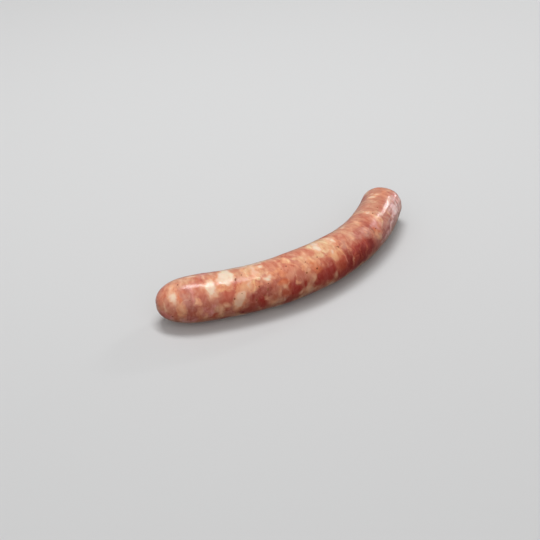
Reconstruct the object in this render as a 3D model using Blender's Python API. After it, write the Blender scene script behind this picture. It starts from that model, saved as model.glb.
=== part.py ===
"""A single raw, coarse-ground sausage link in a natural casing, lying in a gentle bend.

Metres, +Z up.  The link lies on z = 0.  The straight line between its two ends runs along X:
the long rounded dome is at -X, the blunt end at +X, and the belly of the bend faces -Y.
The origin is under the middle of the link's box.
"""
import math

import bmesh
import bpy
import numpy as np
from mathutils import Matrix, Vector

# Driving dimensions
LINK_LENGTH = 0.210          # along the centre line, end to end
CASING_RADIUS = 0.0145       # a filled 28 to 30 mm hog casing
BEND = math.radians(61.5)    # turn of the centre line from one end to the other

# How the bend comes and goes, as shares of the length
EASE_IN = 0.36               # the domed end is nearly straight
EASE_OUT = 0.10

# Shape of the two ends: length in casing radii, and the power of the rounding
DOME_LENGTH, DOME_POWER = 2.0, 2.4
BLUNT_LENGTH, BLUNT_POWER = 0.7, 2.1

# Girth along the link, as shares of the radius
TAPER = 0.08                 # the blunt end is thinner than the domed end
END_SLIMNESS = 0.05          # both ends are thinner than the middle

# The filling is packed unevenly, which swells the inner shoulder in slow waves
SWELL = 0.0004               # height of a swelling
SWELL_SPACING = 0.45         # distance between two, as a share of the length
SWELL_START = 0.48
SWELL_DIRECTION = math.radians(45)   # up from the inner side

# Soft meat settles under its own weight
SETTLED_WIDTH = 1.03
SETTLED_HEIGHT = 0.97
PRESSED_FLAT = 0.02          # depth of the flat underside, in casing radii

# Mesh fineness
DOME_STATIONS, BODY_STATIONS, BLUNT_STATIONS = 12, 42, 8
FIRST_STEP = 0.06            # of a quarter turn, so that each end closes on a tiny cap
SIDES = 36
CENTRE_LINE_STEPS = 2000
WELD_DISTANCE = 0.00001

FLOOR_THICKNESS = 0.02
FLOOR_MARGIN = 0.04


def clear_scene():
    for old in list(bpy.data.objects):
        bpy.data.objects.remove(old, do_unlink=True)


def new_collection(name):
    collection = bpy.data.collections.new(name)
    bpy.context.scene.collection.children.link(collection)
    return collection


def smooth_step(t):
    """Rises from 0 to 1 with no slope at either end: 3 t^2 - 2 t^3."""
    t = np.clip(t, 0.0, 1.0)
    return t * t * (3.0 - 2.0 * t)


def stations():
    """Places along the link, as shares of its length, closer together where an end rounds over."""
    quarter = math.pi / 2
    dome = DOME_LENGTH * CASING_RADIUS / LINK_LENGTH
    blunt = BLUNT_LENGTH * CASING_RADIUS / LINK_LENGTH
    dome_angles = np.linspace(FIRST_STEP * quarter, quarter, DOME_STATIONS)
    blunt_angles = np.linspace(quarter, FIRST_STEP * quarter, BLUNT_STATIONS)
    near = dome * (1.0 - np.cos(dome_angles))
    far = 1.0 - blunt * (1.0 - np.cos(blunt_angles))
    body = np.linspace(dome, 1.0 - blunt, BODY_STATIONS)[1:-1]
    return np.concatenate([near, body, far])


def centre_line(share):
    """Plan of the centre line.  Its curvature eases in, holds and eases out; the heading is the
    running sum of the curvature and the points are the running sum of the heading.  The line is
    then turned so that its two ends lie along X.  Returns points and headings."""
    fine = np.linspace(0.0, 1.0, CENTRE_LINE_STEPS + 1)
    curvature = smooth_step(fine / EASE_IN) * smooth_step((1.0 - fine) / EASE_OUT)
    turned = np.concatenate([[0.0], np.cumsum((curvature[1:] + curvature[:-1]) / 2)])
    heading = BEND * turned / turned[-1]
    middle = (heading[1:] + heading[:-1]) / 2
    step = LINK_LENGTH / CENTRE_LINE_STEPS
    x = np.concatenate([[0.0], np.cumsum(np.cos(middle))]) * step
    y = np.concatenate([[0.0], np.cumsum(np.sin(middle))]) * step
    chord = math.atan2(y[-1], x[-1])
    along_x = x * math.cos(chord) + y * math.sin(chord)
    along_y = y * math.cos(chord) - x * math.sin(chord)
    points = np.stack([np.interp(share, fine, along_x), np.interp(share, fine, along_y)], axis=1)
    return points, np.interp(share, fine, heading) - chord


def end_rounding(share):
    """1 along the body, falling to 0 at each end on a superellipse of that end's length."""
    along = share * LINK_LENGTH / CASING_RADIUS
    from_end = LINK_LENGTH / CASING_RADIUS - along
    dome = np.clip(1.0 - along / DOME_LENGTH, 0.0, 1.0)
    blunt = np.clip(1.0 - from_end / BLUNT_LENGTH, 0.0, 1.0)
    near = (1.0 - dome ** DOME_POWER) ** (1.0 / DOME_POWER)
    far = (1.0 - blunt ** BLUNT_POWER) ** (1.0 / BLUNT_POWER)
    return near * far


def girth(share):
    """Radius of the body before the ends round over, and the swelling's half height."""
    from_middle = share - 0.5
    body = CASING_RADIUS * (1.0 - TAPER * from_middle - END_SLIMNESS * (2.0 * from_middle) ** 2)
    phase = 2.0 * math.pi * (share - SWELL_START) / SWELL_SPACING
    return body, 0.5 * SWELL * np.cos(phase)


def link_mesh():
    """A round tube along the centre line with its own radius at each station, made a mesh and
    then pressed a little lower than it is wide."""
    share = stations()
    plan, heading = centre_line(share)
    rounding = end_rounding(share)
    body, swelling = girth(share)
    shift = swelling * rounding
    inward = np.stack([-np.sin(heading), np.cos(heading)], axis=1)
    plan = plan + inward * (shift * math.cos(SWELL_DIRECTION))[:, None]
    height = SETTLED_HEIGHT * body - PRESSED_FLAT * CASING_RADIUS + shift * math.sin(SWELL_DIRECTION)
    radius = SETTLED_WIDTH * (body + swelling) * rounding
    squash = SETTLED_HEIGHT / SETTLED_WIDTH

    curve = bpy.data.curves.new("link_centre_line", "CURVE")
    curve.dimensions = "3D"
    curve.twist_mode = "Z_UP"
    curve.bevel_depth = 1.0      # so that each point's radius is its real radius in metres
    curve.bevel_resolution = (SIDES - 4) // 2
    curve.use_fill_caps = True
    spline = curve.splines.new("POLY")
    spline.points.add(len(share) - 1)
    points = np.column_stack([plan, height / squash, np.ones(len(share))])
    spline.points.foreach_set("co", points.ravel())
    spline.points.foreach_set("radius", radius)
    guide = bpy.data.objects.new("link_centre_line", curve)
    bpy.context.scene.collection.objects.link(guide)

    evaluated = guide.evaluated_get(bpy.context.evaluated_depsgraph_get())
    mesh = bpy.data.meshes.new_from_object(evaluated)
    bpy.data.objects.remove(guide, do_unlink=True)

    welded = bmesh.new()
    welded.from_mesh(mesh)
    bmesh.ops.remove_doubles(welded, verts=welded.verts, dist=WELD_DISTANCE)
    bmesh.ops.recalc_face_normals(welded, faces=welded.faces)
    welded.to_mesh(mesh)
    welded.free()

    mesh.transform(Matrix.Diagonal((1.0, 1.0, squash, 1.0)))
    return mesh


def centre_in_plan(mesh):
    """Moves the mesh in X and Y so that the middle of its box is over the origin."""
    corners = np.empty(len(mesh.vertices) * 3)
    mesh.vertices.foreach_get("co", corners)
    corners = corners.reshape(-1, 3)
    middle = (corners.min(axis=0) + corners.max(axis=0)) / 2
    mesh.transform(Matrix.Translation((-middle[0], -middle[1], 0.0)))


def raw_sausage_material():
    """Raw pork seen through a wet natural casing."""
    material = bpy.data.materials.new("raw_sausage")
    material.use_nodes = True
    shader = material.node_tree.nodes["Principled BSDF"]
    shader.inputs["Base Color"].default_value = (0.50, 0.16, 0.10, 1.0)
    shader.inputs["Roughness"].default_value = 0.3
    shader.inputs["Metallic"].default_value = 0.0
    return material


def make_link(collection):
    mesh = link_mesh()
    centre_in_plan(mesh)
    mesh.shade_smooth()
    mesh.materials.clear()
    mesh.materials.append(raw_sausage_material())
    link = bpy.data.objects.new("sausage_link", mesh)
    collection.objects.link(link)
    return link


def press_flat_underneath(link, collection):
    """Cuts away what lies below z = 0, which leaves the narrow flat strip that the link rests on."""
    low, high = Vector(link.bound_box[0]), Vector(link.bound_box[6])
    size = Vector((high.x - low.x + FLOOR_MARGIN, high.y - low.y + FLOOR_MARGIN, FLOOR_THICKNESS))
    bpy.ops.mesh.primitive_cube_add(size=1.0, location=(0.0, 0.0, -FLOOR_THICKNESS / 2))
    floor = bpy.context.object
    floor.name = "floor_cutter"
    floor.data.transform(Matrix.Diagonal((size.x, size.y, size.z, 1.0)))
    floor.hide_render = True
    floor.display_type = "WIRE"
    for home in list(floor.users_collection):
        home.objects.unlink(floor)
    collection.objects.link(floor)

    cut = link.modifiers.new("flat_underside", "BOOLEAN")
    cut.operation = "DIFFERENCE"
    cut.solver = "EXACT"
    cut.object = floor


def main():
    clear_scene()
    part = new_collection("sausage_link")
    cutters = new_collection("cutters")
    link = make_link(part)
    press_flat_underneath(link, cutters)


main()
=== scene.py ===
# %% [markdown]
# # A raw sausage link, coarse ground, in a natural casing
#
# The link lies on its side in a gentle bend.  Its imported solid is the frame: it says where the
# link is and how big it may be.  Everything seen here is worked out around that solid.

# %% Load the frame
import math

import bpy
import numpy as np
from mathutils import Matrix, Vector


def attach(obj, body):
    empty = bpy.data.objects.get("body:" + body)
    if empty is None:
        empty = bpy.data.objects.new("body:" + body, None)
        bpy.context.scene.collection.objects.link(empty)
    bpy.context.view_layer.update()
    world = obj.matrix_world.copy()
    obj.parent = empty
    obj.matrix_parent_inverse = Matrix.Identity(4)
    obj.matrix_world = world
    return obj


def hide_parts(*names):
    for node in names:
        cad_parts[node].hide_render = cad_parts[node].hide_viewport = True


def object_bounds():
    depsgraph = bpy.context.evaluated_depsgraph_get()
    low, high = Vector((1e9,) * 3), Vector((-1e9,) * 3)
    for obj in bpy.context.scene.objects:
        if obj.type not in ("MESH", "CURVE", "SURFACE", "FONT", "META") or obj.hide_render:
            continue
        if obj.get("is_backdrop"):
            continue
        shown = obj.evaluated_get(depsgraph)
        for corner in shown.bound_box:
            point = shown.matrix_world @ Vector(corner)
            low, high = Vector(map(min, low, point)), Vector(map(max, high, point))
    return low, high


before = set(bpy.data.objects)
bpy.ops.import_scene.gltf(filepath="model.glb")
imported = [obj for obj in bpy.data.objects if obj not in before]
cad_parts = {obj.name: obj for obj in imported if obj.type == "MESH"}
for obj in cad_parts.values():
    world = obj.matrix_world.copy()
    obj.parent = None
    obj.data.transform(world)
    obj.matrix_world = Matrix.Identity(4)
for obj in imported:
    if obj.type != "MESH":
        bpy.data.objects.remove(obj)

cad_low, cad_high = (np.array(corner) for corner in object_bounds())
print("solid's box, mm:", np.round((cad_high - cad_low) * 1000, 1))

# %% [markdown]
# ## Units and noise
#
# A sausage is small, so its details are easier to name in millimetres.  Blender works in metres,
# and one factor turns one into the other.
#
# Meat is uneven at every size.  An even source of unevenness is a sum of plane waves: each wave
# has its own direction and phase, and all have about the same spacing.  The sum has no grain and
# no seam, it is as smooth as its spacing, and a seed makes it the same each time.

# %% Millimetres, and smooth noise from plane waves
MM = 0.001


def smooth_step(t):
    """Rises from 0 to 1 with no slope at either end: 3 t^2 - 2 t^3."""
    t = np.clip(t, 0.0, 1.0)
    return t * t * (3.0 - 2.0 * t)


def ripples(points, spacing, seed, waves=24):
    """Smooth noise of about -1 to 1 at each point: the sum over waves of cos(k . p + phase),
    where k has a random direction and a length of 2 pi over a spacing near the one asked for."""
    rng = np.random.default_rng(seed)
    direction = rng.normal(size=(waves, 3))
    direction /= np.linalg.norm(direction, axis=1, keepdims=True)
    k = direction * (2.0 * math.pi / spacing) * rng.uniform(0.6, 1.5, (waves, 1))
    phase = rng.uniform(0.0, 2.0 * math.pi, waves)
    return np.cos(points @ k.T + phase).sum(axis=1) / math.sqrt(waves)


# %% [markdown]
# ## The shape of the link
#
# A link is a filled tube.  Its centre line is drawn by curvature, as a hand bends it: nearly
# straight at the domed end, then an even bend.  Its outline is a radius at each place along that
# line, and each end rounds over on a superellipse, a long one at the dome and a short one at the
# blunt end.
#
# A curve with a round bevel would be quicker, but its ends would be alike and its bend a guess.
# These formulas use the driving sizes of the solid, so that the skin lies on it.

# %% Driving sizes, in millimetres and shares
LENGTH = 210.0
RADIUS = 14.5
BEND = math.radians(61.5)
EASE_IN, EASE_OUT = 0.36, 0.10
DOME_LENGTH, DOME_POWER = 2.0, 2.4           # length in radii, and the superellipse's power
BLUNT_LENGTH, BLUNT_POWER = 0.7, 2.1
TAPER, END_SLIMNESS = 0.08, 0.05
SWELL, SWELL_SPACING, SWELL_START = 0.4, 0.45, 0.48
SWELL_DIRECTION = math.radians(45)
SETTLED_WIDTH, SETTLED_HEIGHT, PRESSED_FLAT = 1.03, 0.97, 0.02


def centre_line(share):
    """Points and headings of the centre line at shares of its length.  The heading is the running
    sum of the curvature, the points are the running sum of the heading, and the whole is turned
    so that the two ends lie along X."""
    steps = 4000             # fine enough for sums to stand for integrals
    fine = np.linspace(0.0, 1.0, steps + 1)
    curvature = smooth_step(fine / EASE_IN) * smooth_step((1.0 - fine) / EASE_OUT)
    turned = np.concatenate([[0.0], np.cumsum((curvature[1:] + curvature[:-1]) / 2)])
    heading = BEND * turned / turned[-1]
    middle = (heading[1:] + heading[:-1]) / 2
    x = np.concatenate([[0.0], np.cumsum(np.cos(middle))]) * LENGTH / steps
    y = np.concatenate([[0.0], np.cumsum(np.sin(middle))]) * LENGTH / steps
    chord = math.atan2(y[-1], x[-1])
    along_x = x * math.cos(chord) + y * math.sin(chord)
    along_y = y * math.cos(chord) - x * math.sin(chord)
    points = np.stack([np.interp(share, fine, along_x), np.interp(share, fine, along_y)], axis=-1)
    return points, np.interp(share, fine, heading) - chord


def end_rounding(share):
    """1 along the body, falling to 0 at each end on that end's superellipse."""
    along = share * LENGTH / RADIUS
    dome = np.clip(1.0 - along / DOME_LENGTH, 0.0, 1.0)
    blunt = np.clip(1.0 - (LENGTH / RADIUS - along) / BLUNT_LENGTH, 0.0, 1.0)
    near = (1.0 - dome ** DOME_POWER) ** (1.0 / DOME_POWER)
    far = (1.0 - blunt ** BLUNT_POWER) ** (1.0 / BLUNT_POWER)
    return near * far


def girth(share):
    """Radius of the body before its ends round over, and half the height of the slow swelling."""
    from_middle = share - 0.5
    body = RADIUS * (1.0 - TAPER * from_middle - END_SLIMNESS * (2.0 * from_middle) ** 2)
    return body, 0.5 * SWELL * np.cos(2.0 * math.pi * (share - SWELL_START) / SWELL_SPACING)


quarters = np.array([0.25, 0.5, 0.75])
print("radius at each quarter, mm:", np.round(girth(quarters)[0], 2))

# %% [markdown]
# ## A grid of points over the skin
#
# The skin is one function of two numbers: how far along, and how far round.  Rows are spaced
# evenly over the skin's own length, so that the two ends get as many as they need, and the first
# and last rows shrink to one point, which closes the skin.  Going round, 0 degrees faces the hollow
# side of the bend, 90 is the top, 180 the belly of the bend and 270 the underside.
#
# The grid is about 0.45 mm fine, so that the edge of a piece of fat can be kept at its points.

# %% Rows, columns and the smooth skin
ROWS, COLUMNS = 492, 202


def even_rows(count):
    """Shares along the link whose spacing is even when measured over the skin."""
    fine = 0.5 - 0.5 * np.cos(np.linspace(0.0, math.pi, 20001))
    height = girth(fine)[0] * end_rounding(fine)
    run = np.hypot(np.diff(fine * LENGTH), np.diff(height))
    walked = np.concatenate([[0.0], np.cumsum(run)])
    return np.interp(np.linspace(0.0, walked[-1], count), walked, fine)


def skin(share, around):
    """Points of the smooth skin, in millimetres: the centre line, plus the radius carried round it
    in an ellipse that is a little wider than it is high."""
    plan, heading = centre_line(share)
    rounding = end_rounding(share)
    body, swelling = girth(share)
    shift = swelling * rounding
    radius = (body + swelling) * rounding
    shift_across, shift_up = shift * math.cos(SWELL_DIRECTION), shift * math.sin(SWELL_DIRECTION)
    sideways = SETTLED_WIDTH * radius[:, None] * np.cos(around) + shift_across[:, None]
    upwards = SETTLED_HEIGHT * radius[:, None] * np.sin(around) + shift_up[:, None]
    centre_height = SETTLED_HEIGHT * body - PRESSED_FLAT * RADIUS
    x = plan[:, :1] - np.sin(heading)[:, None] * sideways
    y = plan[:, 1:] + np.cos(heading)[:, None] * sideways
    return np.stack([x, y, centre_height[:, None] + upwards], axis=-1)


share = even_rows(ROWS)
around = np.arange(COLUMNS) * (2.0 * math.pi / COLUMNS)
smooth = skin(share, around)
middle_of_plan = (smooth[..., :2].min(axis=(0, 1)) + smooth[..., :2].max(axis=(0, 1))) / 2
smooth[..., :2] += (cad_low + cad_high)[:2] / 2 / MM - middle_of_plan
print("smooth skin, mm:", np.round(smooth.max(axis=(0, 1)) - smooth.min(axis=(0, 1)), 1))


def outward(points):
    """Unit normals of a rows x columns grid: the cross product of the step round and the step
    along, which points out of the tube."""
    along = np.gradient(points, axis=0)
    round_step = np.roll(points, -1, axis=1) - np.roll(points, 1, axis=1)
    normal = np.cross(round_step, along)
    length = np.linalg.norm(normal, axis=-1, keepdims=True)
    return normal / np.maximum(length, 1e-9)


# At a pole the step round is nothing, so its normal is set along the centre line
normals = outward(smooth)
end_headings = centre_line(share)[1][[0, -1]]
for row, sign, turned in ((0, -1.0, end_headings[0]), (-1, 1.0, end_headings[1])):
    normals[row] = sign * np.array([math.cos(turned), math.sin(turned), 0.0])

# %% [markdown]
# ## Filling space
#
# The pieces in the filling were packed before the link was bent.  So each point of the skin gets
# its place in the straightened link: how far along, and where in the round section, in millimetres.
# Patterns that read this place follow the bend and close round the link without a seam, where a
# flat UV map would have one seam along the link and a pinched spot at each end.

# %% Each point's place in the straightened link
section = (girth(share)[0] * end_rounding(share))[:, None]
filling = np.stack([
    np.repeat((share * LENGTH)[:, None], COLUMNS, axis=1),
    section * np.cos(around),
    section * np.sin(around),
], axis=-1)
place = filling.reshape(-1, 3)
print("straightened link, mm:", np.round(place.max(axis=0) - place.min(axis=0), 1))

# %% [markdown]
# ## Colours
#
# Colours are written as they look on a screen, in sRGB hex.  Blender calculates in linear light,
# so one function turns them.  Most are the colours of the meat itself, before light and gloss:
# fat is cream to peach, lean goes from salmon where it is thin to deep crimson where it is thick,
# and mauve, pink and lavender are casing that stands off the lean under it.  Some swaths and
# pieces are painted light: painted reflection, sheen and highlight on the blunt end, painted
# glints, painted rim light along the top edge, and painted shade low on the belly side.

# %% sRGB hex to linear, and the palette
def colour(hex_code):
    """Undoes the screen's curve on each of red, green and blue: c / 12.92 for the darkest values,
    and ((c + 0.055) / 1.055) to the power 2.4 above."""
    values = np.array([int(hex_code[i:i + 2], 16) / 255.0 for i in (1, 3, 5)])
    linear = np.where(values <= 0.04045, values / 12.92, ((values + 0.055) / 1.055) ** 2.4)
    return (*linear.tolist(), 1.0)


CREAM = colour("#f8e3ca")          # thick back fat
SHELL = colour("#efcfb6")          # fat under a pinkish casing
BUFF = colour("#ecba93")           # fine fat with a little lean
PEACH = colour("#efad86")          # thin fat with lean behind it
APRICOT = colour("#eba078")        # fine fat tinted by spice
TAN = colour("#de9c7e")            # fine mince, more fat than lean
CARAMEL = colour("#d28c72")        # fine mince in shade, under thicker casing
SALMON = colour("#da896d")         # fine mince, half and half
ROSE = colour("#cf7a63")           # fine mince, more lean than fat
ORANGE = colour("#e07c54")         # lean tinted by spice
BRICK = colour("#cb6148")          # thin lean
# Crimson and deep are also laid low on the belly side and under it as painted shade.
CRIMSON = colour("#b8463d")        # whole pieces of lean
WINE = colour("#b25445")           # lean with a film of fat over it
DEEP = colour("#982a25")           # thick lean with no fat behind it
MAUVE = colour("#cc8270")          # casing a little off the lean
# Pink is also laid as painted reflection, painted sheen and painted highlight on the blunt end, and as
# painted rim light on the domed end.
PINK = colour("#e59b92")           # casing well off the lean
# The next colour is the palest casing, and also a painted reflection: the pale surface low on the right,
# mirrored in the blunt end.
PALE_CASING_AND_REFLECTION = colour("#f4c0bc")       # the palest casing
DUSTY = colour("#d08f85")          # slack casing over mince
print("crimson in linear light:", np.round(CRIMSON[:3], 3))

# %% [markdown]
# ## The pieces of fat and lean
#
# The meat is minced coarsely, through a plate with holes of about 8 mm, so single pieces of fat and
# of lean can be told apart through the casing.  The casing presses each against its neighbours and
# the filling horn drags them round, so they are longer round the link than along it.
#
# A cell noise would give such pieces all over, but all of one kind and none where it should be.
# So each piece is an ellipsoid in filling space, and those on the upper side are listed one by one.

# %% Listed pieces
# along mm, round degrees, width along, height round, lean of the long side in degrees, tone 0 to 1
FAT_PIECES_AND_GLINTS = [
    (8.7, 129, 5, 10, 5, 0.9), (8.6, 106, 3.2, 7, 0, 0.45), (31.4, 124, 7.4, 14.5, -4, 0.78),
    (32.2, 103, 3.2, 6, 0, 0.75), (31.4, 140, 5.6, 5, 0, 0.3), (41.6, 97, 11.2, 14, 4, 0.95),
    (42.4, 80, 8, 11, 0, 1), (38.6, 109, 7.4, 6.5, 0, 0.8), (22.8, 151, 1.8, 3.6, 15, 0.3),
    (13, 163, 3.4, 7.5, 25, 0.1), (47.4, 156, 6.2, 9.5, -30, 0.42), (45.4, 173, 6.2, 9.5, -25, 0.45),
    (38.6, 170, 3.6, 3, -50, 0.35), (35.6, 186, 2.4, 9, 5, 0.3), (53.2, 131, 3.2, 7, 10, 0.55),
    (53.8, 92, 1.8, 7, 0, 0.55), (59, 92, 4.6, 12, 0, 0.55), (64, 91, 4.4, 5.5, 20, 0.9),
    (64.8, 130, 5, 5.5, -28, 0.95), (62.4, 177, 2.6, 4.5, 10, 0.2), (70.4, 170, 1.8, 7.5, -8, 0.4),
    (66.4, 192, 3.6, 5, 0, 0.15), (79.8, 93, 1.6, 7, 0, 0.6), (83.6, 119, 1.2, 3.2, 35, 0.7),
    (88.4, 110, 2.2, 4.5, 10, 0.8), (91.6, 114, 2, 4, -25, 0.75), (89.2, 125, 2.6, 2.6, 0, 0.5),
    (94.2, 94, 2.4, 4.6, 5, 0.7), (104, 96, 6.4, 7, -20, 0.95), (106.4, 78, 6, 9, -28, 0.85),
    (117.4, 95, 5.6, 8.5, -8, 0.95), (117.6, 80, 4, 4, 0, 0.7), (121, 93, 1.1, 5.5, 0, 0.75),
    (111.2, 121, 3.2, 6, -12, 0.7), (99, 130, 1.2, 3.4, -10, 0.6), (90.2, 139, 1.8, 4.5, -20, 0.3),
    (92.6, 162, 2.4, 3.2, 20, 0.4), (88.6, 189, 3.6, 7, 8, 0.2), (108.6, 184, 1.8, 4.5, 10, 0.35),
    (123.6, 127, 1, 5.5, -15, 0.55), (123.4, 166, 1, 4.5, 0, 0.4), (73.6, 160, 1.4, 4, 40, 0.4),
    (148.2, 86, 2.4, 6, 5, 0.55), (163, 90, 4.2, 4.6, 5, 0.8), (162.6, 106, 3, 4, -10, 0.3),
    (186.4, 71, 5, 7, 40, 0.8), (190.6, 83, 3.4, 5, 35, 0.55), (151.6, 151, 3.6, 6.5, 0, 0.1),
    # On the next line, the pieces at 136.5 and 22 mm, along the top edge, are fat and partly painted rim
    # light.
    (136.5, 66, 6, 2.6, 0, 0.7), (174.4, 138, 1.4, 5.5, 5, 0.25), (22, 75, 7, 4.2, -12, 0.8),
    (27, 195, 2.6, 5, 0, 0.25), (67.6, 118, 0.9, 3.4, 55, 0.8), (131.5, 116, 1.2, 2.6, 50, 0.4),
    # The three small pale pieces on the next line are painted glints of the wet casing, laid as fat.
    (144.8, 118, 1.6, 2.2, 30, 0.8), (146.8, 121, 1, 1.4, 0, 0.7), (143.6, 124, 1, 3, 20, 0.6),
]
print(len(FAT_PIECES_AND_GLINTS), "pieces of fat placed by hand")

# %% [markdown]
# Under and between the fat, the mince changes from place to place, by how much lean is in it and
# how thick it lies.  Each such swath is a soft-edged ellipsoid of one colour.  Later ones lie over
# earlier ones, so the broad ones come first.  Some swaths are painted light instead: painted
# reflection, sheen, highlight, rim light and shade, each marked where it stands.

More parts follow.
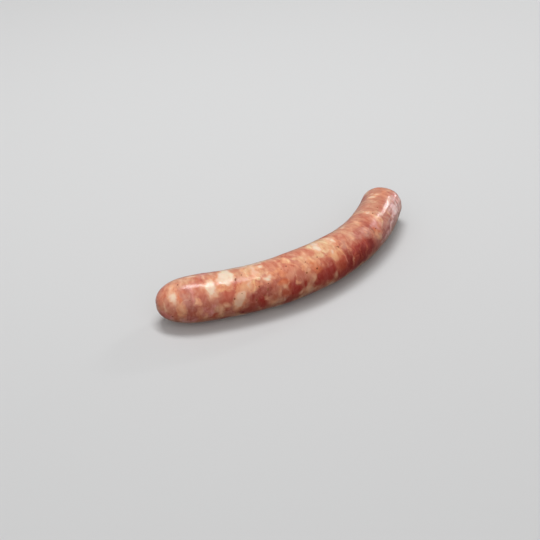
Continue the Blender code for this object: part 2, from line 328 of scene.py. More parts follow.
# %% Listed swaths of mince, and of painted light
# along mm, round degrees, width along, height round, lean in degrees, blur of the edge in mm, colour
SWATHS = [
    # broad, from the domed end to the blunt end
    (3, 112, 7, 18, 0, 2, SALMON), (16.5, 92, 13, 9, 0, 1.6, TAN), (27, 90, 9, 10, 0, 2, ROSE),
    (35, 96, 5, 18, 0, 1.8, TAN), (6.5, 180, 11, 14, 8, 1.8, ROSE), (4.5, 209, 8, 7, 0, 2, PINK),
    (18, 180, 7.5, 15, 0, 1.5, WINE), (23.5, 140, 10, 10, 0, 2, ROSE), (25.5, 126, 7, 7, 0, 1.6, SALMON),
    (19.5, 126, 5, 9, 0, 1.8, PINK), (38.5, 129, 10, 7, 0, 1.8, APRICOT), (25, 186, 8, 11, 0, 1.8, SALMON),
    (17, 208, 9, 6, 0, 1.5, PINK), (33, 208, 6, 6, 0, 1.8, SALMON), (49.5, 92, 7, 12, 0, 1.5, TAN),
    (59, 96, 9, 14, 0, 1.6, BUFF), (55, 135, 11, 7.5, 0, 1.8, APRICOT), (72, 97, 12, 13, 0, 2, SALMON),
    (59, 65, 26, 4, 0, 1.5, SHELL), (90, 75, 22, 8, 0, 2.5, SALMON), (84, 98, 9, 10, 0, 2, ROSE),
    (88.5, 107, 8, 5, 0, 1.5, BUFF), (99, 98, 6, 9, 0, 1.4, SALMON), (101, 112, 6, 5, 0, 1.6, BUFF),
    (79, 132, 12, 10, 0, 1.8, SALMON), (71, 121, 8, 6, 0, 1.8, APRICOT), (84, 152, 16, 8, 0, 1.8, ROSE),
    (100, 170, 12, 12, 0, 2, CRIMSON), (59, 166, 11, 11, 0, 1.8, WINE), (59, 188, 10, 10, 0, 1.6, CRIMSON),
    (65, 190, 7, 10, 0, 1.8, ROSE), (88.5, 191, 7, 9, 5, 1.6, TAN), (53, 195, 11, 8, 0, 2, WINE),
    (75, 176, 7, 11, 0, 1.8, BRICK), (78, 198, 14, 7, 0, 1.5, WINE), (108, 82, 18, 15, 0, 2, BUFF),
    (108.5, 108, 12, 7, 0, 1.5, BUFF), (135, 92, 30, 17, 0, 3, TAN), (125, 98, 6, 7, 0, 2, ROSE),
    (140.5, 119, 15, 10, 0, 2, MAUVE), (112, 133, 14, 7, 0, 1.6, APRICOT),
    # The crimson swaths low on the belly side, at 100 mm above and on the next three lines, are lean and
    # partly painted shade, which paints that side darker.
    (106, 165, 8, 12, 0, 2.2, CRIMSON), (114, 161, 10, 12, 0, 2.2, BRICK),
    (132, 163, 30, 16, 0, 2.6, CRIMSON), (118, 190, 26, 9, 0, 2, CRIMSON),
    (136, 188, 10, 7, -20, 1.8, CRIMSON), (178, 84, 50, 20, 0, 3.5, CARAMEL),
    (167.5, 140, 15, 11, 10, 1.8, MAUVE), (152.4, 155, 5.4, 8.5, 5, 1.8, TAN),
    # The pink swath at 188 mm on the next line is casing and painted reflection: the pale surface low on the
    # right, mirrored in the lower side of the blunt end.
    (149.5, 173, 6, 8, 0, 1.8, WINE), (188, 160, 28, 13, 0, 2.5, PINK), (184, 131, 22, 8, 0, 1.8, DUSTY),
    (166, 172, 12, 8, 25, 1.5, PINK), (152.5, 186, 8, 7, 0, 1.4, BRICK),
    # smaller, laid over them
    (8.6, 100, 3.2, 6, 0, 1.2, PEACH), (13, 143, 4.6, 7, 0, 1.1, ORANGE),
    (17.3, 144, 5.4, 14, -4, 2.4, MAUVE), (12.6, 168, 4.4, 7, 22, 0.9, APRICOT),
    (28.5, 168, 9, 11, 10, 2.2, ROSE), (40, 151, 11, 6.5, 0, 1.6, BRICK),
    (45.4, 134, 4, 8.5, -12, 0.8, BRICK), (30.5, 197, 6, 5, 0, 1.2, BRICK),
    (38, 190, 4.5, 5.5, 0, 0.9, WINE), (22.7, 152, 2.2, 3.4, 15, 0.6, PEACH),
    (31.5, 145, 8, 4.4, 0, 1.2, ROSE), (47.8, 138, 6, 8, -15, 1.4, APRICOT),
    (53.5, 93, 2.2, 9, 0, 0.9, PEACH), (80, 91, 4, 7, 0, 1, PEACH), (69.5, 141, 7, 6, 0, 1.6, ROSE),
    (73.2, 147, 5.5, 6.5, 0, 1, ORANGE), (80, 175, 7, 9, 0, 1.8, CRIMSON),
    (86.3, 172, 3, 5.5, 0, 0.8, CRIMSON), (95.5, 142, 8.5, 7.5, 0, 2.2, ORANGE),
    (88.6, 130, 4, 5.5, 0, 0.8, PEACH), (73.6, 161, 3, 3.4, 20, 0.6, APRICOT),
    (81.8, 156, 2.4, 3.2, 0, 0.6, PEACH), (72.5, 193, 4.5, 6, 0, 1.3, MAUVE),
    # The deep swaths at 121 mm on the next line and at 133 and 143 mm on the line after are lean and partly
    # painted shade of the lower belly side.
    (62.5, 153, 5, 5, 0, 1.4, WINE), (122.3, 126, 4, 5.5, 0, 0.9, MAUVE), (121, 165, 5, 11, -10, 2, DEEP),
    (133, 168, 14, 12, -10, 3, DEEP), (143, 163, 6, 11, -6, 2.2, DEEP), (137.6, 152, 1.2, 9, -14, 1, BRICK),
    (127, 153, 1.2, 8, -12, 1, BRICK), (131.5, 160, 1, 7, -14, 1, BRICK), (140, 198, 6, 5.5, -20, 1.4, ROSE),
    (108.5, 187, 4, 6, 0, 1.4, ROSE), (150, 112, 5, 8.5, 0, 1.4, ROSE), (149.8, 124, 3.4, 9, 0, 2, WINE),
    (144.5, 122, 4, 3.5, 0, 1.4, DUSTY), (154.2, 139, 6.5, 5.5, 0, 1, ORANGE), (162, 107, 6, 5, 0, 1.6, TAN),
    (192, 103, 8, 7, 0, 1.8, SALMON), (174.5, 158, 4.5, 7, 0, 1.5, WINE), (173, 152, 5, 6.5, 20, 1.4, ROSE),
    # The lavender swath at 184 mm on the next line is painted reflection of that pale surface, over pale
    # casing.
    # The pink swath at 157 mm on the next line is painted sheen, a soft gloss of the wet casing.
    (160.5, 165, 5, 8, 20, 1.4, WINE), (157, 125, 8, 7, -10, 2.6, PINK), (184, 145, 9, 8, 0, 1.6, PALE_CASING_AND_REFLECTION),
    # The pink swath at 197 mm on the next line is painted highlight, round the bright rim of the blunt end.
    (191.5, 151, 3.8, 5, 0, 1.3, WINE), (197, 131, 7, 6, 0, 1.6, PINK), (161.5, 121, 6, 6, 0, 3, PEACH),
    (95.5, 122, 5, 5, 0, 2, PEACH), (28.5, 184, 6, 7, 0, 1.8, PINK), (41, 196, 6, 6, 0, 1.6, MAUVE),
    # The deep swath at 47.5 mm on the next line is painted shade, where the underside turns toward the
    # table.
    # The pink swath at 29 mm on the next line is painted rim light along the top edge of the domed end.
    (47.5, 207, 6, 4.5, 0, 1.6, DEEP), (29, 74, 7, 4, 0, 1.6, PINK),
    # thin streaks along the lower side of the blunt end; the lavender one is partly painted reflection,
    # and the dark one at 178 mm is partly painted shade of the lower edge
    (172, 164, 32, 2.6, 18, 1, PALE_CASING_AND_REFLECTION), (168, 158, 20, 2.4, 18, 1, WINE), (160, 177, 20, 2, 18, 1, PINK),
    (157, 171, 14, 1.8, 18, 1, WINE), (178, 170, 22, 2.4, 18, 1.2, WINE),
]
print(len(SWATHS), "swaths placed by hand")

# %% [markdown]
# The sides that face away have the same kinds of pieces, strewn at random.  A seed for each kind
# keeps them in the same places each time.

# %% Strewn pieces
FAR_SIDE = (212, 410)        # degrees, from under the belly round to the hollow side


def strewn(count, width, height, degrees, seed):
    """Pieces at even random places along the link and round it, between two angles, with even
    random sizes, a lean spread about upright by 18 degrees, and a tone from 0 to 1."""
    rng = np.random.default_rng(seed)
    return np.stack([
        rng.uniform(1.0, LENGTH - 1.0, count),
        rng.uniform(*degrees, count),
        rng.uniform(*width, count),
        rng.uniform(*height, count),
        rng.normal(0.0, 18.0, count),
        rng.uniform(0.0, 1.0, count),
    ], axis=1)


far_fat = strewn(90, (2.0, 7.0), (3.0, 12.0), FAR_SIDE, seed=4)
small_fat = strewn(60, (0.7, 1.8), (1.0, 3.2), FAR_SIDE, seed=6)
all_fat = np.concatenate([np.array(FAT_PIECES_AND_GLINTS), far_fat, small_fat])

# The commoner a colour is in the mince, the more often it stands here
FAR_COLOURS = (
    TAN, SALMON, SALMON, ROSE, BRICK, BRICK, CRIMSON, CRIMSON, WINE, DEEP, PEACH, BUFF, ORANGE, PINK,
)
SHUFFLE = 997                # large, so that a tone's later digits pick the colour
far_places = np.concatenate([
    strewn(70, (8.0, 16.0), (8.0, 16.0), FAR_SIDE, seed=7),
    strewn(110, (3.0, 8.0), (4.0, 10.0), FAR_SIDE, seed=8),
])
far_swaths = [
    (*piece, 0.8 + tone, FAR_COLOURS[int(tone * SHUFFLE) % len(FAR_COLOURS)])
    for *piece, tone in far_places
]
# Thin drawn-out fibres of fat and of lean, all round the link
fibres = strewn(200, (0.7, 1.3), (4.0, 13.0), (0, 360), seed=9)
print(len(all_fat), "pieces of fat in all,", len(SWATHS) + len(far_swaths), "swaths,", len(fibres), "fibres")

# %% [markdown]
# Each piece's edge is uneven, because meat tears.  The places are pushed about by smooth noise
# before they are measured, which bends every edge a little.  What is kept is how deep each point
# lies inside the nearest piece: positive inside, negative outside.  A depth stays smooth where
# a yes or no would be jagged, and the material can turn it into an edge as crisp as it likes.

# %% How deep each point lies in each piece
def pushed(points, reach, spacing, seed):
    """Points moved by a smooth random vector of about this reach: one ripple for each axis."""
    moves = [ripples(points, spacing, seed + axis) for axis in range(3)]
    return points + reach * np.stack(moves, axis=1)


def depth_inside(points, along, degrees, width, height, lean):
    """Depth in millimetres of each point inside an ellipsoid that sits in the skin.  In the
    ellipsoid's own axes q is the distance from its centre in half-sizes, and the depth is
    (1 - q) times its smallest half-size: above 0 inside, below 0 outside."""
    angle, tilt = math.radians(degrees), math.radians(lean)
    radius = float(girth(along / LENGTH)[0] * end_rounding(along / LENGTH))
    out = np.array([0.0, math.cos(angle), math.sin(angle)])
    round_axis = np.array([0.0, -math.sin(angle), math.cos(angle)])
    along_axis = np.array([1.0, 0.0, 0.0])
    long_axis = math.cos(tilt) * round_axis + math.sin(tilt) * along_axis
    short_axis = math.cos(tilt) * along_axis - math.sin(tilt) * round_axis
    offset = points - (along * along_axis + radius * out)
    half_deep = 4.0 + height / 4           # long pieces reach deeper
    q = np.sqrt(
        (offset @ short_axis / (width / 2)) ** 2
        + (offset @ long_axis / (height / 2)) ** 2
        + (offset @ out / half_deep) ** 2
    )
    return (1.0 - q) * min(width, height) / 2


FAR_OUTSIDE = -5.0           # depth where there is no fat at all
# An edge wanders by about half a millimetre every 6 mm, and by 0.3 mm every 2.4 mm
torn = pushed(pushed(place, 0.55, 6.0, seed=20), 0.3, 2.4, seed=30)
fat_depth = np.full(len(place), FAR_OUTSIDE)
fat_tone = np.zeros(len(place))
for *piece, tone in all_fat:
    depth = depth_inside(torn, *piece)
    fat_tone = np.where(depth > fat_depth, tone, fat_tone)
    fat_depth = np.maximum(fat_depth, depth)
print("share of the skin over fat: %.2f" % (fat_depth > 0).mean())

# %% [markdown]
# The mince under the fat is painted point by point.  It starts as salmon with soft clouds of tan
# and rose.  Then each swath is laid over it, fully inside and not at all outside, with its own
# blur between.  Last, thin fibres make it fatter or leaner.

# %% Paint the mince
CLOUD_COVER = 0.8
FATTER, LEANER = 0.55, -0.45         # what a fibre adds to the richness
FATTER_SHARE = 0.6                   # of the fibres are fat
FIBRE_BLUR = 0.45                    # mm
GAIN = np.array([0.3, 1.0, 1.0])     # fat lifts green and blue far more than it lifts red


def cover_of(piece, blur):
    """How much of each point a piece covers: its depth, as a smooth step as wide as the blur."""
    return smooth_step(0.5 + depth_inside(smeared, *piece) / (2.0 * blur))


def laid_over(base, cover, top):
    """One colour laid over the colours below it, by its cover at each point."""
    return base + cover[:, None] * (np.array(top)[:3] - base)


smeared = pushed(pushed(place, 1.2, 6.5, seed=40), 0.5, 2.4, seed=44)
drifted = pushed(place, 1.5, 6.0, seed=70)
mince = np.tile(np.array(SALMON)[:3], (len(place), 1))
for seed, cloud_colour in ((71, TAN), (72, ROSE)):
    cloud = ripples(drifted, 9.0, seed=seed)
    mince = laid_over(mince, CLOUD_COVER * smooth_step(0.5 + cloud), cloud_colour)
for *piece, blur, swath_colour in far_swaths + SWATHS:
    mince = laid_over(mince, cover_of(piece, blur), swath_colour)
richness = 0.15 * ripples(pushed(place, 1.0, 5.0, seed=80), 6.5, seed=84)
for *piece, tone in fibres:
    richness += (FATTER if tone < FATTER_SHARE else LEANER) * cover_of(piece, FIBRE_BLUR)
mince *= np.exp(richness[:, None] * GAIN)
print("mean colour of the mince, linear:", np.round(mince.mean(axis=0), 3))

# %% [markdown]
# ## Relief
#
# The skin isn't quite smooth.  The casing is gathered where it was twisted off, so short pleats
# run out from each end.  Bump in the material could draw them, but it changes only the shading.
# Here points are moved, so the outline and the long highlights follow.

# %% Pleats at a gathered end
row_steps = np.linalg.norm(np.diff(smooth[:, 0], axis=0), axis=1)
from_dome = np.concatenate([[0.0], np.cumsum(row_steps)])
from_blunt = from_dome[-1] - from_dome
DIMPLE_RADIUS = 1.8                  # mm


def gathered(distance, reach, height, dimple, pleats, seed):
    """Pleats that run out from an end: cosines round the link that fade at the pole and again at
    their reach, with a dimple in the middle where the casing was twisted."""
    rng = np.random.default_rng(seed)
    fade = smooth_step(distance / 2.5) * (1.0 - smooth_step(distance / reach))
    folds = sum(
        np.cos(count * around + rng.uniform(0, 2 * math.pi) + 0.6 * np.sin(2 * around)) / (index + 1)
        for index, count in enumerate(pleats)
    )
    return height * fade[:, None] * folds - dimple * np.exp(-(distance[:, None] / DIMPLE_RADIUS) ** 2)


pleats_at_dome = gathered(from_dome, reach=8.0, height=0.07, dimple=0.25, pleats=(9, 13, 5), seed=60)
pleats_at_blunt = gathered(from_blunt, reach=12.0, height=0.20, dimple=1.10, pleats=(11, 7, 16), seed=61)
print("pleats, mm: %.2f to %.2f" % (pleats_at_blunt.min(), pleats_at_blunt.max()))

# %% [markdown]
# The filling is packed in slow lumps, and pieces of fat lift the casing by less than a tenth of a
# millimetre.  Toward the blunt end it is wrinkled, with long creases on the lower side, and on the
# hollow side of the bend it is in slack folds.

# %% Relief of the body, in millimetres along the normals
RAMP = 25.0                          # mm, over which wrinkles and creases set in
WRINKLES_FROM, CREASES_FROM = 145.0, 150.0      # mm along
CREASES_ROUND = 14                   # creases, if they went right round
FOLD_SPACING = 3.1                   # mm


def on_grid(values):
    """One value for each point, as rows and columns."""
    return values.reshape(ROWS, COLUMNS)


lumps = 0.11 * ripples(place, 19.0, seed=50) + 0.030 * ripples(place, 7.0, seed=51)
wrinkled = 0.014 * ripples(place, 4.5, seed=53) * smooth_step((place[:, 0] - WRINKLES_FROM) / RAMP)
lifted = 0.05 * smooth_step((fat_depth + 0.3) / 1.5)
relief = on_grid(lumps + wrinkled + lifted)

# Creases are cosines round the link that wander slowly along it
wander = on_grid(ripples(place * (0.25, 1.0, 1.0), 14.0, seed=54))
toward_blunt_end = smooth_step((place[:, 0] - CREASES_FROM) / RAMP)
on_belly_side = smooth_step((-place[:, 1] - 5.0) / 5.0)
creases = np.cos(CREASES_ROUND * around + 3.0 * wander)
relief += 0.08 * creases * on_grid(toward_blunt_end * on_belly_side)
relief *= smooth_step(np.minimum(from_dome, from_blunt) / 4.0)[:, None]
relief += pleats_at_dome + pleats_at_blunt

# Slack folds are sines along the link that wander too
on_hollow_side = smooth_step((np.cos(around) - 0.25) / 0.6)
slack = on_hollow_side * smooth_step((share - 0.3) / 0.2)[:, None]
phase = place[:, 0] * 2.0 * math.pi / FOLD_SPACING + 1.6 * ripples(place, 9.0, seed=52)
relief += 0.05 * slack * on_grid(np.sin(phase)) * smooth_step(from_blunt / 20.0)[:, None]

surface = smooth + normals * relief[..., None]
surface[..., 2] = np.maximum(surface[..., 2], 0.0)      # pressed flat where it rests
print("relief, mm: %.2f to %.2f" % (relief.min(), relief.max()))

# %% [markdown]
# ## The skin as a mesh
#
# The grid becomes a mesh in one go: the inner rows give four-sided faces and each pole a fan
# of triangles.  The places, depths and colours go with it as attributes, one value for each point,
# so that the material needs no unwrapping and no image.

# %% Build the link
def closed_tube(name, points):
    """A mesh over a rows x columns grid in millimetres that closes round the columns, and shrinks
    to a single point at the first and at the last row."""
    rows, columns = points.shape[:2]
    inner = points[1:-1].reshape(-1, 3)
    corners = np.concatenate([inner, points[:1, 0], points[-1:, 0]]) * MM
    ring = np.arange(columns)
    next_ring = np.roll(ring, -1)
    first = (np.arange(rows - 3) * columns)[:, None]
    quads = np.stack([
        first + ring, first + next_ring, first + columns + next_ring, first + columns + ring,
    ], axis=-1).reshape(-1, 4)
    start, end = len(inner), len(inner) + 1
    last = (rows - 3) * columns
    near = np.stack([np.full(columns, start), next_ring, ring], axis=-1)
    far = np.stack([np.full(columns, end), last + ring, last + next_ring], axis=-1)
    mesh = bpy.data.meshes.new(name)
    mesh.from_pydata(corners, [], quads.tolist() + near.tolist() + far.tolist())
    mesh.validate()
    mesh.shade_smooth()
    return mesh


def on_points(values):
    """Values of the grid's rows in the order of the mesh's points: inner rows, then both poles."""
    grid = values.reshape(ROWS, COLUMNS, -1)
    return np.concatenate([grid[1:-1].reshape(-1, grid.shape[2]), grid[:1, 0], grid[-1:, 0]])


link_mesh = closed_tube("sausage_skin", surface)
opaque = np.ones(len(mince))
for name, values, kind, field in (
    ("filling_place", place, "FLOAT_VECTOR", "vector"),
    ("fat_depth", fat_depth, "FLOAT", "value"),
    ("fat_tone", fat_tone, "FLOAT", "value"),
    ("mince_and_painted_light", np.column_stack([mince, opaque]), "FLOAT_COLOR", "color"),
):
    attribute = link_mesh.attributes.new(name, kind, "POINT")
    attribute.data.foreach_set(field, on_points(values).ravel())
link = bpy.data.objects.new("sausage_skin", link_mesh)
bpy.context.scene.collection.objects.link(link)
print("skin:", len(link_mesh.vertices), "points,", 2 * len(link_mesh.polygons), "triangles at most")

# %% [markdown]
# ## Raw meat in a wet casing
#
# This is minced pork, wet and slightly see-through, under a hog casing about 0.1 mm thick.  Light
# goes a millimetre or so into the meat and comes back redder, so the shader has subsurface
# scattering.  The casing is a smooth wet film, which is a coat: it gives the sharp highlights, and
# small ripples of its own break them up.  A material is a tree of nodes, so a helper comes first.

# %% One function that adds a node
def in_use(sockets, name):
    """The socket of that name which the node's settings leave in use, or the one at that index."""
    if isinstance(name, int):
        return sockets[name]
    return next(socket for socket in sockets if socket.name == name and socket.enabled)


def set_inputs(tree, node, inputs):
    """Sets each input from a value, or links it to another node's output."""
    for key, value in inputs.items():
        target = in_use(node.inputs, key)
        if isinstance(value, bpy.types.NodeSocket):
            tree.links.new(value, target)
        else:
            target.default_value = value


def add_node(tree, kind, output, inputs, **settings):
    """Adds a node with its settings, sets its inputs, and returns the output asked for."""
    made = tree.nodes.new(kind)
    for key, value in settings.items():
        setattr(made, key, value)
    set_inputs(tree, made, inputs)
    return in_use(made.outputs, output)


def new_material(name):
    """A material with nothing but its Principled shader.  Returns material, tree and shader."""
    material = bpy.data.materials.new(name)
    material.use_nodes = True
    return material, material.node_tree, material.node_tree.nodes["Principled BSDF"]


# %% [markdown]
# Noise alone would give meat of one kind all over, and paint alone would be too smooth close up.
# So the colour is built the way the filling is: the painted mince, which noise makes leaner and
# fatter from one crumb to the next, then the pieces of fat, and the milky casing last.

# %% Raw coarse pork in hog casing: the places and patterns that its colours read
meat, tree, shader = new_material("raw coarse pork in wet hog casing")
where = add_node(tree, "ShaderNodeAttribute", "Vector", {}, attribute_name="filling_place")
fat_in = add_node(tree, "ShaderNodeAttribute", "Fac", {}, attribute_name="fat_depth")
fat_shade = add_node(tree, "ShaderNodeAttribute", "Fac", {}, attribute_name="fat_tone")
painted = add_node(tree, "ShaderNodeAttribute", "Color", {}, attribute_name="mince_and_painted_light")

# The horn drags the mince round the link: bits are twice as long round as along, and the finer
# fibres and crumbs four times
dragged = add_node(tree, "ShaderNodeMapping", "Vector", {"Vector": where, "Scale": (1.0, 0.5, 0.5)})
fibrous = add_node(tree, "ShaderNodeMapping", "Vector", {"Vector": where, "Scale": (1.0, 0.25, 0.25)})
BIT, CRUMB = 3.2, 0.9                # mm along the link; filling_place is in millimetres too
mottle = add_node(tree, "ShaderNodeTexNoise", "Fac", {
    "Vector": dragged, "Scale": 1 / BIT, "Detail": 4.0, "Roughness": 0.6, "Distortion": 0.6})
crumbs = add_node(tree, "ShaderNodeTexNoise", "Fac", {
    "Vector": fibrous, "Scale": 1 / CRUMB, "Detail": 3.0, "Roughness": 0.6})
print("patterns:", len(tree.nodes), "nodes")

# %% [markdown]
# In the mince, fat and lean are mixed finer than the paint can show.  A multiplier does this best,
# because it keeps the painted hue: under 1 for a leaner bit, over 1 for a fatter one.

# %% Mince: the painted colour, leaner and fatter from one bit to the next
fatness = add_node(tree, "ShaderNodeMapRange", "Result", {
    "Value": mottle, "From Min": 0.32, "From Max": 0.68}, interpolation_type="SMOOTHSTEP")
leaner_to_fatter = add_node(tree, "ShaderNodeMix", "Result", {
    "Factor": fatness, "A": (0.90, 0.75, 0.70, 1.0), "B": (1.05, 1.18, 1.20, 1.0)}, data_type="RGBA")
crumbly = add_node(tree, "ShaderNodeMix", "Result", {
    "Factor": 1.0, "A": painted, "B": leaner_to_fatter}, data_type="RGBA", blend_type="MULTIPLY")

# %% [markdown]
# A piece of fat is white only where it is thick.  At its edge it thins out, so the lean behind it
# shows through as peach.  The depth that was worked out for each point stands for that thickness,
# and crumbs added to it make the edge ragged.  Each piece's own tone says how white it gets.

# %% Pieces of fat: peach where they thin out at the edge, cream where they are thick
ragged = add_node(tree, "ShaderNodeMath", "Value", {
    0: crumbs, 1: 1.1, 2: fat_in}, operation="MULTIPLY_ADD")
fat_cover = add_node(tree, "ShaderNodeMapRange", "Result", {
    "Value": ragged, "From Min": -0.5, "From Max": 1.8, "To Max": 0.97},
    interpolation_type="SMOOTHSTEP")
thickness = add_node(tree, "ShaderNodeMapRange", "Result", {
    "Value": ragged, "From Min": 0.4, "From Max": 2.6, "To Max": fat_shade},
    interpolation_type="SMOOTHSTEP")
fat_colour = add_node(tree, "ShaderNodeMix", "Result", {
    "Factor": thickness, "A": PEACH, "B": CREAM}, data_type="RGBA")
clouded = add_node(tree, "ShaderNodeMix", "Result", {
    "Factor": fatness, "A": (0.97, 0.90, 0.89, 1.0), "B": (1.0, 1.03, 1.05, 1.0)}, data_type="RGBA")
clouded_fat = add_node(tree, "ShaderNodeMix", "Result", {
    "Factor": 1.0, "A": fat_colour, "B": clouded}, data_type="RGBA", blend_type="MULTIPLY")
with_fat = add_node(tree, "ShaderNodeMix", "Result", {
    "Factor": fat_cover, "A": crumbly, "B": clouded_fat}, data_type="RGBA")

# %% [markdown]
# The casing is thin enough to see through, and only a little milky.  Its gloss is a coat, because
# water lies on it as a film.  Where it is seen at a slant there is more milky casing to look
# through, so it pales, which sheen gives.  Meat and casing bend light a little more than water: 1.40.

# %% Milky casing over all, and the shader's own values
veil = add_node(tree, "ShaderNodeMapRange", "Result", {
    "Value": mottle, "From Min": 0.3, "From Max": 0.7, "To Min": 0.0, "To Max": 0.05})
surface_colour = add_node(tree, "ShaderNodeMix", "Result", {
    "Factor": veil, "A": with_fat, "B": SHELL}, data_type="RGBA")
roughness = add_node(tree, "ShaderNodeMapRange", "Result", {
    "Value": crumbs, "From Min": 0.3, "From Max": 0.7, "To Min": 0.34, "To Max": 0.5})
meat_bump = add_node(tree, "ShaderNodeBump", "Normal", {
    "Strength": 0.25, "Distance": 0.05 * MM, "Height": crumbs})
FILM_RIPPLE = 2.5                    # mm
film_ripple = add_node(tree, "ShaderNodeTexNoise", "Fac", {
    "Vector": where, "Scale": 1 / FILM_RIPPLE, "Detail": 3.0, "Roughness": 0.55})
film_bump = add_node(tree, "ShaderNodeBump", "Normal", {
    "Strength": 0.7, "Distance": 0.12 * MM, "Height": film_ripple})
set_inputs(tree, shader, {
    "Base Color": surface_colour, "Roughness": roughness, "IOR": 1.40, "Normal": meat_bump,
    "Specular IOR Level": 0.1,
    # Red light goes furthest into meat, blue least
    "Subsurface Weight": 0.35, "Subsurface Radius": (1.0, 0.35, 0.22), "Subsurface Scale": 1.6 * MM,
    "Sheen Weight": 0.7, "Sheen Roughness": 0.27, "Sheen Tint": colour("#f6d9cf"),
    "Coat Weight": 1.0, "Coat Roughness": 0.175, "Coat IOR": 1.40, "Coat Normal": film_bump})
link_mesh.materials.append(meat)
print("with casing:", len(tree.nodes), "nodes")

# %% [markdown]
# ## Flecks of pepper
#
# Cracked pepper and bits of dried herb show through the casing as dark specks: a few of 1 to 3 mm,
# and many of about half a millimetre.  They could be painted like the mince, but a speck is smaller
# than the paint's grid can draw.  So each is a small lumpy lozenge of two dozen faces, sunk in the
# meat so that only its low crown stands out.  The large ones are listed one by one.

# %% Places of the flecks
# along mm, round degrees, length mm, width mm, turn in degrees
PLACED_FLECKS = [
    (46.6, 113, 3, 1.8, 60), (43.4, 158, 2.2, 1.6, 70), (58.4, 143, 1.8, 1.4, 0), (63.2, 153, 3.2, 1.2, 80),
    (55.8, 173, 2, 1.6, 20), (60.4, 166, 1.4, 1.1, 0), (78, 112, 1.6, 1.4, 0), (90.6, 120, 1.6, 1.2, 30),
    (88.4, 144, 2, 1.6, 0), (95.8, 144, 2.2, 1.6, 10), (99.2, 120, 1.4, 1.2, 0), (116.6, 118, 3, 1.5, -50),
    (163.4, 101, 2.2, 1.6, 10), (173, 101, 1.5, 1.2, 0), (7.5, 192, 1.8, 1.4, 0), (13, 97, 1.8, 1.2, 80),
    (47.8, 150, 0.9, 0.8, 0), (153, 135, 1.8, 1.3, 20), (64, 141, 1.6, 0.9, 0), (50.5, 103, 2, 1, 70),
    (134, 128, 1, 0.8, 0), (74.5, 115, 1, 0.8, 0), (168, 120, 1, 0.8, 0), (144, 131, 1.3, 0.9, 0),
]
strewn_flecks = strewn(70, (0.4, 0.9), (0.3, 0.7), (0, 360), seed=12)
flecks = np.concatenate([np.array(PLACED_FLECKS), strewn_flecks[:, :5]])
flecks[:, 0] = np.clip(flecks[:, 0], 6.0, LENGTH - 8.0)      # none in the gathered ends
print(len(flecks), "flecks")

# %% [markdown]
# At its place on the skin, a fleck needs three axes: out of the skin, along the link and across.
# The last two are turned by the fleck's own angle, and half sizes along the three stretch a unit
# shape into the fleck.

# %% Shapes of the flecks
SIDES = 6                     # points in each ring of a fleck
RISES = (-50.0, 0.0, 50.0)    # degrees above its equator, a ring at each
CORNERS = SIDES * len(RISES) + 2
CROWN = 0.5                   # share of half a fleck that stands out of the skin
THINNESS = 0.14               # half its thickness, as a share of its width


def fleck_shapes(count, seed):
    """Lumpy lozenges of unit size: a ring at each rise and two poles, with every point's distance
    from the middle changed at random by up to a quarter."""
    rng = np.random.default_rng(seed)
    rise = np.radians(np.repeat(RISES, SIDES))
    turn = np.tile(np.arange(SIDES) * 2.0 * math.pi / SIDES, len(RISES))
    rings = np.stack([np.cos(rise) * np.cos(turn), np.cos(rise) * np.sin(turn), np.sin(rise)], axis=1)
    unit = np.concatenate([rings, [[0, 0, -1], [0, 0, 1]]])
    return unit * rng.uniform(0.75, 1.1, (count, CORNERS, 1))


row = np.searchsorted(share * LENGTH, flecks[:, 0])
column = np.round(flecks[:, 1] / 360.0 * COLUMNS).astype(int) % COLUMNS
out = normals[row, column]
along = surface[row + 1, column] - surface[row - 1, column]
along /= np.linalg.norm(along, axis=1, keepdims=True)
across = np.cross(out, along)
turn = np.radians(flecks[:, 4])[:, None]
long_axis = np.cos(turn) * along + np.sin(turn) * across
short_axis = np.cos(turn) * across - np.sin(turn) * along
half_thickness = THINNESS * flecks[:, 3:4]
middle = surface[row, column] - out * (1.0 - CROWN) * half_thickness
half_axes = (long_axis * flecks[:, 2:3] / 2, short_axis * flecks[:, 3:4] / 2, out * half_thickness)
shapes = fleck_shapes(len(flecks), seed=13)
fleck_points = middle[:, None] + sum(
    shapes[..., axis:axis + 1] * half_axes[axis][:, None] for axis in range(3))
fleck_points[..., 2] = np.maximum(fleck_points[..., 2], 0.0)      # none below the table
print("flecks, mm: %.1f to %.1f long" % (flecks[:, 2].min(), flecks[:, 2].max()))

# %% [markdown]
# One mesh holds all the flecks, because dozens of objects would only be harder to handle.  Each
# fleck has the same faces, counted on from its own first point.

# %% One mesh for all the flecks
ring = np.arange(SIDES)
next_ring = (ring + 1) % SIDES
fleck_quads = np.concatenate([
    low + np.stack([ring, next_ring, SIDES + next_ring, SIDES + ring], axis=1)
    for low in range(0, CORNERS - 2 - SIDES, SIDES)
])
bottom, top = np.full(SIDES, CORNERS - 2), np.full(SIDES, CORNERS - 1)
top_ring = CORNERS - 2 - SIDES
fleck_ends = np.concatenate([
    np.stack([bottom, next_ring, ring], axis=1),
    np.stack([top, top_ring + ring, top_ring + next_ring], axis=1),
])
steps = (np.arange(len(flecks)) * CORNERS)[:, None, None]
fleck_mesh = bpy.data.meshes.new("pepper_flecks")
fleck_mesh.from_pydata(
    fleck_points.reshape(-1, 3) * MM, [],
    (steps + fleck_quads).reshape(-1, 4).tolist() + (steps + fleck_ends).reshape(-1, 3).tolist())
fleck_mesh.shade_smooth()
pepper = bpy.data.objects.new("pepper_flecks", fleck_mesh)
bpy.context.scene.collection.objects.link(pepper)
print("flecks:", len(fleck_mesh.polygons), "faces")

# %% [markdown]
# Pepper is nearly black when dry.  In meat it is wet, and its milky casing and the meat round it
# lighten and redden it, so it shows as reddish brown.  Plain noise mixes the two browns.

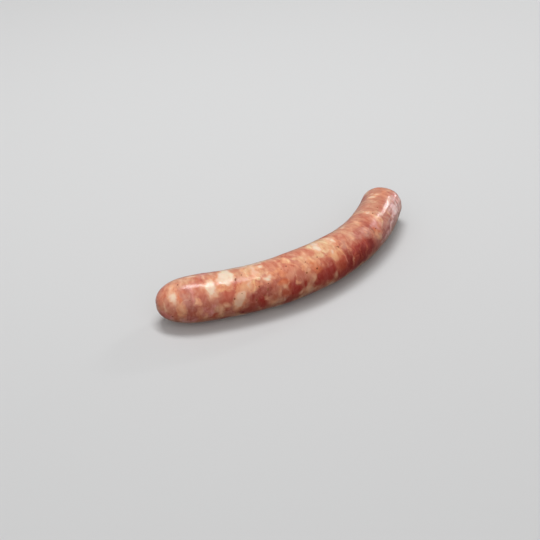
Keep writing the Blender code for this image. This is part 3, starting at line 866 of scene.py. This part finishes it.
# %% Cracked black pepper: reddish brown bits, under the same wet film as the meat
PEPPER_MOTTLE = 3.0 * MM
spice, spice_tree, spice_shader = new_material("cracked black pepper under wet casing")
spice_place = add_node(spice_tree, "ShaderNodeTexCoord", "Object", {})
spice_noise = add_node(spice_tree, "ShaderNodeTexNoise", "Fac", {
    "Vector": spice_place, "Scale": 1 / PEPPER_MOTTLE})
spice_share = add_node(spice_tree, "ShaderNodeMapRange", "Result", {
    "Value": spice_noise, "From Min": 0.35, "From Max": 0.65})
spice_colour = add_node(spice_tree, "ShaderNodeMix", "Result", {
    "Factor": spice_share, "A": colour("#8c4026"), "B": colour("#a8643e")}, data_type="RGBA")
set_inputs(spice_tree, spice_shader, {
    "Base Color": spice_colour, "Roughness": 0.5, "IOR": 1.40, "Specular IOR Level": 0.1,
    "Coat Weight": 1.0, "Coat Roughness": 0.15, "Coat IOR": 1.40})
fleck_mesh.materials.append(spice)

# %% [markdown]
# ## Lights
#
# The light is plain and soft.  A picture of a room could light the link, but its highlights would
# fall where that room has them.  On a wet casing each highlight is the mirror image of a lamp.  So
# each lamp is set in the direction in which the link mirrors it.  Its brightness is given as
# radiance, which is how bright it looks in that mirror, and its power follows from its area.
#
# A window overhead, with its sill and one edge, leaves the long thin highlight on the domed end and
# the middle.  On the right, a row of three round lamps leaves the bright spots on the blunt end.
# A dim tall strip, a low lamp and a shaded lamp leave the fainter light round those spots.

# %% Lights from the direction in which they are seen
AIM = (0.0, 0.0, 0.014)       # the middle of the link, in metres


def panel(name, place, size, turn, radiance):
    """An area light with its middle at that place, as wide and high as the size, turned by three
    angles in degrees.  Its power is pi x area x radiance."""
    lamp = bpy.data.lights.new(name, "AREA")
    lamp.shape = "RECTANGLE"
    lamp.size, lamp.size_y = size
    lamp.energy = math.pi * size[0] * size[1] * radiance
    box = bpy.data.objects.new(name, lamp)
    box.location = np.array(AIM) + np.array(place)
    box.rotation_euler = [math.radians(angle) for angle in turn]
    box.visible_camera = False
    bpy.context.scene.collection.objects.link(box)
    return box


def overhead(name, x, y, width, depth, turn, radiance, height=1.2):
    """A level panel above the link, with its place and size given as shares of its height."""
    place, size = (x * height, y * height, height), (width * height, depth * height)
    return panel(name, place, size, (0, 0, turn), radiance)


def upright(name, azimuth, elevation, width, height, radiance, distance=1.5):
    """A round panel at a compass angle from +X and a height angle, facing the link, with its
    width and height given in degrees."""
    turn, rise = math.radians(azimuth), math.radians(elevation)
    level = distance * math.cos(rise)
    place = (level * math.cos(turn), level * math.sin(turn), distance * math.sin(rise))
    size = (distance * math.radians(width), distance * math.radians(height))
    box = panel(name, place, size, (90.0 - elevation, 0.0, azimuth + 90.0), radiance)
    box.data.shape = "ELLIPSE"
    return box


ROW_ON_THE_RIGHT = ((5.8, 23.4), (9.2, 25.2), (13.4, 27.0))      # azimuth, elevation
lamps = [
    overhead("window overhead", 0.165, 0.035, 0.13, 0.35, -14, 12.2),
    overhead("window sill", 0.235, -0.14, 0.07, 0.12, 0, 6.0),
    overhead("edge of the window", 0.02, 0.28, 0.36, 0.32, 140, 11.6),
    upright("strip on the right", 9.0, 9.0, 3.0, 12.0, 2.0),
    upright("low lamp on the right", 9.0, 6.0, 3.0, 5.0, 10.0),
    *(upright("lamp on the right", *at, 3.2, 3.2, 30.0) for at in ROW_ON_THE_RIGHT),
    upright("shaded lamp on the right", -1.0, 31.5, 8.0, 9.0, 1.7),
]
print(len(lamps), "lamps, brightest %.2f W" % max(lamp.data.energy for lamp in lamps))

# %% [markdown]
# ## The room
#
# Between the lamps the casing mirrors the room.  It is pale above the table and dark below it, and
# four soft round patches stand for the pale things in it.  Each patch is a formula: the cosine of
# the angle to its middle, never under 0, raised to a power.  The higher the power, the smaller
# the patch.  A formula has no edges, so nothing sharp shows in the gloss but the lamps.
#
# The camera itself sees pale paper past the floor's far edge, whatever the room is like.

# %% The room
world = bpy.data.worlds.new("pale room")
world.use_nodes = True
bpy.context.scene.world = world
room = world.node_tree
seen = add_node(room, "ShaderNodeTexCoord", "Generated", {})      # the direction looked in
seen_height = add_node(room, "ShaderNodeSeparateXYZ", "Z", {"Vector": seen})
brightness = add_node(room, "ShaderNodeMapRange", "Result", {
    "Value": seen_height, "From Min": -0.22, "From Max": 0.32, "To Min": 0.01, "To Max": 0.16},
    interpolation_type="SMOOTHSTEP")
for middle, power, strength in (
    ((-0.66, -0.15, 0.73), 4.0, 0.26),       # a broad glow from the upper left
    ((0.99, 0.03, -0.12), 24.0, 1.2),        # a pale surface low on the right, past the blunt end
    ((-0.63, -0.58, 0.52), 3.0, 0.98),       # a broad fill from the left, under the domed end
    ((-0.10, 0.99, -0.05), 4.0, 0.45),       # white behind, which the far rim of the link mirrors
):
    cosine = add_node(room, "ShaderNodeVectorMath", "Value", {
        0: seen, 1: middle}, operation="DOT_PRODUCT")
    facing = add_node(room, "ShaderNodeMath", "Value", {0: cosine, 1: 0.0}, operation="MAXIMUM")
    patch = add_node(room, "ShaderNodeMath", "Value", {0: facing, 1: power}, operation="POWER")
    brightness = add_node(room, "ShaderNodeMath", "Value", {
        0: patch, 1: strength, 2: brightness}, operation="MULTIPLY_ADD")

BACKDROP = 0.32               # brightness of the paper past the floor
seen_by_camera = add_node(room, "ShaderNodeLightPath", "Is Camera Ray", {})
shown = add_node(room, "ShaderNodeMix", "Result", {
    "Factor": seen_by_camera, "A": brightness, "B": BACKDROP}, data_type="FLOAT")
set_inputs(room, room.nodes["Background"], {"Color": colour("#fffdfb"), "Strength": shown})
print("room:", len(room.nodes), "nodes")

# %% [markdown]
# ## Floor
#
# The floor is plain matt paper.  The link lay on dark slate, which threw no light back under it,
# so the paper is set to throw none either: it is seen and takes the link's shadow, and that is
# all.  It lies a hair below the link, so the two never flicker.

# %% Floor
FLOOR_SIZE = 30.0             # metres, so that its far edge is lost in the backdrop
half = FLOOR_SIZE / 2
floor_mesh = bpy.data.meshes.new("floor")
floor_mesh.from_pydata(
    [(-half, -half, 0), (half, -half, 0), (half, half, 0), (-half, half, 0)], [], [(0, 1, 2, 3)])
floor = bpy.data.objects.new("floor", floor_mesh)
floor.location.z = -0.05 * MM
bpy.context.scene.collection.objects.link(floor)
paper, paper_tree, paper_shader = new_material("matt pale paper")
set_inputs(paper_tree, paper_shader, {"Base Color": colour("#d2d3d4"), "Roughness": 0.9})
floor_mesh.materials.append(paper)
floor.visible_diffuse = False
floor.visible_glossy = False
floor.visible_shadow = False
print("floor:", FLOOR_SIZE, "m square")

# %% [markdown]
# ## Camera
#
# Food is best seen from a third of the way up, as from a chair.  A wide lens close by would make
# the near end of the link swell, so this is a longer lens from further away.

# %% Camera
VIEW_FROM = (-0.3622, -0.3745, 0.343)      # metres
VIEW_TURN = 41.8              # degrees clockwise from +Y, seen from above
VIEW_DOWN = 33.0              # degrees below level
camera_data = bpy.data.cameras.new("camera")
camera_data.lens = 65.0
camera_data.sensor_width = 36.0
camera_data.clip_start = 0.01
camera = bpy.data.objects.new("camera", camera_data)
camera.location = VIEW_FROM
camera.rotation_euler = (math.radians(90.0 - VIEW_DOWN), 0.0, math.radians(-VIEW_TURN))
bpy.context.scene.collection.objects.link(camera)
bpy.context.scene.camera = camera
bpy.context.scene.view_settings.view_transform = "Standard"
print("camera %.2f m away" % math.dist(VIEW_FROM, AIM))

# %% [markdown]
# ## Hand over
#
# The skin and the flecks ride on the only body and stand for the imported solid.  The solid's box
# is written down.

# %% Ride, replace, mark the backdrop, and write down the solid's box
for piece in (link, pepper):
    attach(piece, "root")
    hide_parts("sausage_link")
floor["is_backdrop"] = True

print("solid, mm:", np.round(cad_low * 1000, 2), np.round(cad_high * 1000, 2))
